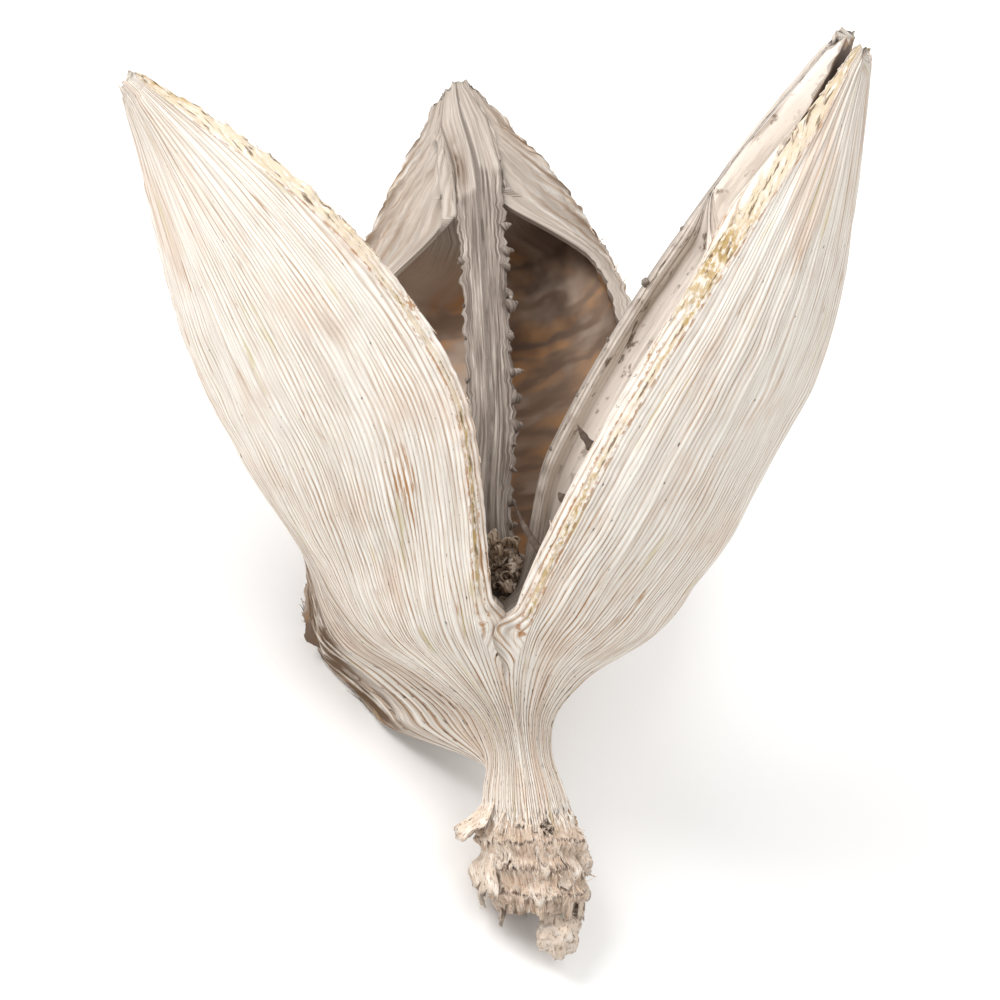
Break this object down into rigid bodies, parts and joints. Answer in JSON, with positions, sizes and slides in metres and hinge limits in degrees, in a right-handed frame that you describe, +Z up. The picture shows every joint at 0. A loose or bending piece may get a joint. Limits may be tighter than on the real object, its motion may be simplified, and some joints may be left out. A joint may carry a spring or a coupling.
{
  "type": "dried three-valved seed pod",
  "caption": "Dried woody seed pod split open from the tip into three boat-shaped valves with ribs and hollow half chambers, on a short torn stalk, lying down.",
  "frame": {"origin": "on the ground under the middle of the pod's box, as it lies on its back valve, on the skirt of its left valve and on its collar", "axes": "+Z is up, +Y runs along the pod's length from the stalk to the tips, and +X is to the right seen from the stalk"},
  "size_m": [0.089, 0.1254, 0.0977],
  "materials": {
    "bleached_rind": "bleached, dry, matt fibrous rind",
    "dried_chaff": "dark dried flakes, matt"
  },
  "bodies": {
    "root": {"pod": "bleached_rind", "seed_chaff": "dried_chaff"}
  },
  "joints": []
}
